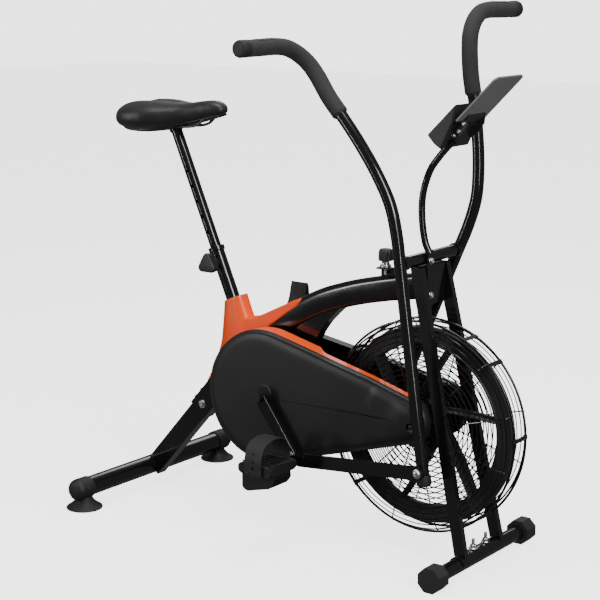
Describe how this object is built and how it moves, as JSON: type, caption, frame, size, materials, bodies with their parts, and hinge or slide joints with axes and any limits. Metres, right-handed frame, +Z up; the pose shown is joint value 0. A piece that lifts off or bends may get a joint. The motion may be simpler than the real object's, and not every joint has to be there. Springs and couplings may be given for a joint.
{
  "type": "air bike",
  "caption": "Upright exercise bike with a chain-driven fan wheel in a wire guard, linked swinging levers, an adjustable saddle, a display and a tablet rest.",
  "frame": {"origin": "centre of the footprint, on the floor", "axes": "+X forward from the saddle to the fan, +Y to the rider's left, +Z up"},
  "size_m": [1.149, 0.68, 1.264],
  "materials": {
    "frame_paint": "gloss",
    "cover_plastic": "satin",
    "orange_plastic": "gloss",
    "rubber": "matte",
    "grip_foam": "matte",
    "saddle_vinyl": "satin",
    "zinc": "satin",
    "dark_steel": "satin",
    "tablet_grey": "satin"
  },
  "bodies": {
    "frame": {"rear_stabilizer": "frame_paint", "rear_leg": "frame_paint", "rear_stay": "frame_paint", "bottom_bracket_shell": "frame_paint", "seat_tube": "frame_paint", "main_tube": "frame_paint", "main_gusset": "frame_paint", "head_block": "frame_paint", "pivot_axle": "frame_paint", "fork_leg_right": "frame_paint", "fork_leg_left": "frame_paint", "front_stabilizer": "frame_paint", "fork_saddle": "frame_paint", "fan_guard_right": "frame_paint", "fan_guard_left": "frame_paint", "console_post": "frame_paint", "chain_cover_right": "cover_plastic", "side_cover_left": "cover_plastic", "console": "cover_plastic", "seat_shroud": "orange_plastic", "cover_backing_right": "orange_plastic", "rear_end_cap_right": "rubber", "rear_end_cap_left": "rubber", "rear_foot_right": "rubber", "rear_foot_left": "rubber", "front_end_cap_right": "rubber", "front_end_cap_left": "rubber", "rear_leg_side_bolt": "zinc", "front_bolt_right": "zinc", "front_bolt_left": "zinc", "console_post_bolt_1": "zinc", "console_post_bolt_2": "zinc", "fan_axle": "dark_steel", "drive_chain": "dark_steel", "tablet_holder": "tablet_grey"},
    "crankset": {"crank_spindle": "dark_steel", "chainwheel": "dark_steel", "crank_arm_right": "frame_paint", "crank_arm_left": "frame_paint"},
    "fan_rotor": {"fan_wheel": "cover_plastic", "fan_sprocket": "dark_steel"},
    "pedal_unit_right": {"pedal_right": "cover_plastic", "pedal_strap_right": "rubber"},
    "pedal_unit_left": {"pedal_left": "cover_plastic", "pedal_strap_left": "rubber"},
    "link_unit_right": {"link_right": "frame_paint", "link_bolt_right": "zinc"},
    "link_unit_left": {"link_left": "frame_paint", "link_bolt_left": "zinc"},
    "lever_unit_right": {"lever_right": "frame_paint", "grip_right": "grip_foam", "lever_end_cap_right": "rubber"},
    "lever_unit_left": {"lever_left": "frame_paint", "grip_left": "grip_foam", "lever_end_cap_left": "rubber"},
    "seat_unit": {"seat_post": "frame_paint", "saddle": "saddle_vinyl", "seat_clamp": "dark_steel"},
    "seat_pin_unit": {"seat_knob": "cover_plastic"},
    "tension_unit": {"tension_knob": "cover_plastic"}
  },
  "joints": [
    {"name": "crank_spin", "type": "hinge", "parent": "frame", "child": "crankset", "pos_m": [-0.0815, 0, 0.336], "axis": [0, 1, 0], "continuous": true},
    {"name": "fan_spin", "type": "hinge", "parent": "frame", "child": "fan_rotor", "pos_m": [0.3245, 0, 0.308], "axis": [0, 1, 0], "continuous": true},
    {"name": "pedal_right_spin", "type": "hinge", "parent": "crankset", "child": "pedal_unit_right", "pos_m": [0.01954, 0, 0.2048], "axis": [0, 1, 0], "continuous": true},
    {"name": "pedal_left_spin", "type": "hinge", "parent": "crankset", "child": "pedal_unit_left", "pos_m": [-0.18254, 0, 0.4672], "axis": [0, 1, 0], "continuous": true},
    {"name": "link_right_swing", "type": "hinge", "parent": "crankset", "child": "link_unit_right", "pos_m": [0.01954, 0, 0.2048], "axis": [0, 1, 0], "continuous": true},
    {"name": "link_left_swing", "type": "hinge", "parent": "crankset", "child": "link_unit_left", "pos_m": [-0.18254, 0, 0.4672], "axis": [0, 1, 0], "continuous": true},
    {"name": "lever_right_swing", "type": "hinge", "parent": "frame", "child": "lever_unit_right", "pos_m": [0.3275, 0, 0.702], "axis": [0, 1, 0], "range_deg": [-7.4, 34.7]},
    {"name": "lever_left_swing", "type": "hinge", "parent": "frame", "child": "lever_unit_left", "pos_m": [0.3275, 0, 0.702], "axis": [0, 1, 0], "range_deg": [-39.6, 2.5]},
    {"name": "seat_height", "type": "slide", "parent": "frame", "child": "seat_unit", "axis": [-0.4036, 0, 0.9149], "range_m": [-0.08, 0.08]},
    {"name": "seat_pin_pull", "type": "slide", "parent": "frame", "child": "seat_pin_unit", "axis": [0, -1, 0], "range_m": [0, 0.012], "stiffness_N_per_m": 800},
    {"name": "tension_turn", "type": "hinge", "parent": "frame", "child": "tension_unit", "pos_m": [0.2205, -0.02, 0.69], "axis": [0, 0, 1], "range_deg": [-180, 180]}
  ],
  "couplings": [
    {"joint": "fan_spin", "follows": "crank_spin", "ratio": 4},
    {"joint": "link_right_swing", "follows": "crank_spin", "ratio": -1},
    {"joint": "link_left_swing", "follows": "crank_spin", "ratio": -1}
  ]
}
